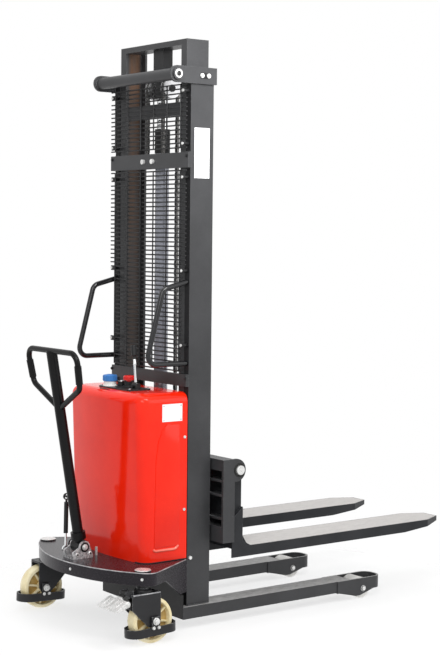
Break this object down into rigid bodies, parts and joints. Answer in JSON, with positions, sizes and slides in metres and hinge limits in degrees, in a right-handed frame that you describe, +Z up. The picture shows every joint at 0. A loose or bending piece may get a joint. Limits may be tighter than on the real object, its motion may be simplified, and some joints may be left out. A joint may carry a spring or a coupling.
{
  "type": "semi-electric stacker",
  "caption": "Pedestrian semi-electric stacker: two-stage mast with chains, adjustable forks over straddle legs, red power unit, loop tiller and swivel casters.",
  "frame": {"origin": "on the floor, under the middle of the stacker's length and width", "axes": "+X forwards to the fork tips, +Y to the left of a person at the tiller, +Z up"},
  "size_m": [1.6566, 0.746, 2.085],
  "materials": {
    "mast_paint": "charcoal enamel, semi-gloss",
    "black_parts": "black enamel, semi-gloss",
    "red_cover": "glossy red",
    "bright_steel": "oiled",
    "zinc_plate": "zinc plated",
    "chrome_rod": "polished",
    "cream_wheel": "cream polyurethane",
    "pale_roller": "off-white nylon",
    "black_plastic": "black, fine grain",
    "black_rubber": "matt",
    "plate_white": "blank plate, satin",
    "grey_aluminium": "machined",
    "red_button": "glossy red",
    "blue_cap": "blue lid"
  },
  "bodies": {
    "chassis": {"base_tray": "mast_paint", "rear_beam": "mast_paint", "left_leg": "mast_paint", "right_leg": "mast_paint", "left_mast_channel": "mast_paint", "right_mast_channel": "mast_paint", "mast_end_plates": "mast_paint", "cross_tube": "mast_paint", "mast_beams": "mast_paint", "upper_guard": "black_parts", "lower_guard": "black_parts", "left_grab_handle": "black_parts", "right_grab_handle": "black_parts", "power_cover": "red_cover", "console_plate": "black_plastic", "console_fittings": "black_plastic", "battery": "black_plastic", "oil_tank": "black_parts", "valve_block": "grey_aluminium", "pump_motor": "black_parts", "hydraulic_hose": "black_rubber", "cylinder_barrel": "mast_paint", "cylinder_head": "black_parts", "cylinder_clamp": "zinc_plate", "tiller_bracket": "zinc_plate", "caster_mounts": "zinc_plate", "blank_plates": "plate_white", "chassis_bolts": "zinc_plate", "rear_chains": "bright_steel"},
    "inner_mast": {"left_inner_beam": "mast_paint", "right_inner_beam": "mast_paint", "inner_cross_bars": "mast_paint", "piston_rod": "chrome_rod", "sheave_block": "black_parts", "chain_wraps": "bright_steel", "front_chains": "bright_steel"},
    "sheaves": {"chain_sheaves": "bright_steel"},
    "mast_rollers_low": {"lower_mast_rollers": "bright_steel"},
    "mast_rollers_high": {"upper_mast_rollers": "bright_steel"},
    "carriage": {"carriage_frame": "mast_paint", "fork_shaft": "zinc_plate"},
    "carriage_rollers_low": {"lower_carriage_rollers": "bright_steel"},
    "carriage_rollers_high": {"upper_carriage_rollers": "bright_steel"},
    "fork_left": {"left_fork": "mast_paint"},
    "fork_right": {"right_fork": "mast_paint"},
    "caster_left": {"left_caster_fork": "black_parts"},
    "caster_right": {"right_caster_fork": "black_parts"},
    "wheel_left": {"left_wheel": "cream_wheel"},
    "wheel_right": {"right_wheel": "cream_wheel"},
    "pedal": {"brake_pedal": "zinc_plate"},
    "load_roller_left": {"left_load_roller": "pale_roller"},
    "load_roller_right": {"right_load_roller": "pale_roller"},
    "tiller_arm": {"tiller": "black_parts", "tiller_grips": "black_rubber"},
    "spring_barrel": {"gas_spring_barrel": "black_parts"},
    "spring_rod": {"gas_spring_rod": "chrome_rod"},
    "lever": {"control_lever": "black_parts"},
    "stop_head": {"stop_button": "red_button"},
    "cap": {"filler_cap": "blue_cap"}
  },
  "joints": [
    {"name": "mast_lift", "type": "slide", "parent": "chassis", "child": "inner_mast", "axis": [0, 0, 1], "range_m": [-0.0955, 1.36], "deforming": ["rear_chains"]},
    {"name": "carriage_lift", "type": "slide", "parent": "inner_mast", "child": "carriage", "axis": [0, 0, 1], "range_m": [-0.096, 1.3605], "deforming": ["front_chains"]},
    {"name": "sheave_spin", "type": "hinge", "parent": "inner_mast", "child": "sheaves", "pos_m": [-0.34766, 0, 1.925], "axis": [0, -1, 0], "range_deg": [-177.01, 2514.12]},
    {"name": "mast_rollers_low_spin", "type": "hinge", "parent": "inner_mast", "child": "mast_rollers_low", "pos_m": [-0.34466, 0, 0.292], "axis": [0, -1, 0], "range_deg": [-135.6, 1924.51]},
    {"name": "mast_rollers_high_spin", "type": "hinge", "parent": "inner_mast", "child": "mast_rollers_high", "pos_m": [-0.34466, 0, 0.482], "axis": [0, 1, 0], "range_deg": [-135.6, 1924.51]},
    {"name": "carriage_rollers_low_spin", "type": "hinge", "parent": "carriage", "child": "carriage_rollers_low", "pos_m": [-0.34466, 0, 0.375], "axis": [0, -1, 0], "range_deg": [-142.62, 2024.45]},
    {"name": "carriage_rollers_high_spin", "type": "hinge", "parent": "carriage", "child": "carriage_rollers_high", "pos_m": [-0.34466, 0, 0.565], "axis": [0, 1, 0], "range_deg": [-142.62, 2024.45]},
    {"name": "left_fork_shift", "type": "slide", "parent": "carriage", "child": "fork_left", "axis": [0, -1, 0], "range_m": [0, 0.11]},
    {"name": "right_fork_shift", "type": "slide", "parent": "carriage", "child": "fork_right", "axis": [0, 1, 0], "range_m": [0, 0.11]},
    {"name": "left_caster_swivel", "type": "hinge", "parent": "chassis", "child": "caster_left", "pos_m": [-0.63363, 0.32, 0.17], "axis": [0, 0, 1], "continuous": true},
    {"name": "left_wheel_spin", "type": "hinge", "parent": "caster_left", "child": "wheel_left", "pos_m": [-0.66363, 0.32, 0.08], "axis": [0, 1, 0], "continuous": true},
    {"name": "left_load_roller_spin", "type": "hinge", "parent": "chassis", "child": "load_roller_left", "pos_m": [0.42934, 0.215, 0.04], "axis": [0, 1, 0], "continuous": true},
    {"name": "right_caster_swivel", "type": "hinge", "parent": "chassis", "child": "caster_right", "pos_m": [-0.63363, -0.32, 0.17], "axis": [0, 0, 1], "continuous": true},
    {"name": "right_wheel_spin", "type": "hinge", "parent": "caster_right", "child": "wheel_right", "pos_m": [-0.60363, -0.32, 0.08], "axis": [0, 1, 0], "continuous": true},
    {"name": "right_load_roller_spin", "type": "hinge", "parent": "chassis", "child": "load_roller_right", "pos_m": [0.42934, -0.215, 0.04], "axis": [0, 1, 0], "continuous": true},
    {"name": "brake_press", "type": "hinge", "parent": "caster_right", "child": "pedal", "pos_m": [-0.70663, -0.32, 0.184], "axis": [0, -1, 0], "range_deg": [0, 12]},
    {"name": "tiller_tilt", "type": "hinge", "parent": "chassis", "child": "tiller_arm", "pos_m": [-0.69066, 0, 0.29], "axis": [0, -1, 0], "range_deg": [0, 60], "stiffness_Nm_per_rad": 26, "springref_deg": -17.19},
    {"name": "spring_swing", "type": "hinge", "parent": "chassis", "child": "spring_rod", "pos_m": [-0.72366, 0.044, 0.276], "axis": [0, -1, 0], "range_deg": [-0.5, 60.75]},
    {"name": "spring_stroke", "type": "slide", "parent": "spring_rod", "child": "spring_barrel", "axis": [-0.0195, 0, -0.9998], "range_m": [-0.0005, 0.03653]},
    {"name": "lever_throw", "type": "hinge", "parent": "chassis", "child": "lever", "pos_m": [-0.51166, -0.085, 0.862], "axis": [0, 1, 0], "range_deg": [-18, 18], "stiffness_Nm_per_rad": 2},
    {"name": "stop_press", "type": "slide", "parent": "chassis", "child": "stop_head", "axis": [0, 0, -1], "range_m": [0, 0.006]},
    {"name": "cap_turn", "type": "hinge", "parent": "chassis", "child": "cap", "pos_m": [-0.53566, 0.05, 0.845], "axis": [0, 0, 1], "range_deg": [0, 90]}
  ],
  "couplings": [
    {"joint": "carriage_lift", "follows": "mast_lift", "ratio": 1},
    {"joint": "sheave_spin", "follows": "mast_lift", "rad_per_m": 32.258},
    {"joint": "mast_rollers_low_spin", "follows": "mast_lift", "rad_per_m": 24.691},
    {"joint": "mast_rollers_high_spin", "follows": "mast_lift", "rad_per_m": 24.691},
    {"joint": "carriage_rollers_low_spin", "follows": "mast_lift", "rad_per_m": 25.974},
    {"joint": "carriage_rollers_high_spin", "follows": "mast_lift", "rad_per_m": 25.974},
    {"joint": "spring_swing", "follows": "tiller_tilt", "ratio": 1.0042},
    {"joint": "spring_stroke", "follows": "tiller_tilt", "m_per_rad": 0.034411}
  ]
}
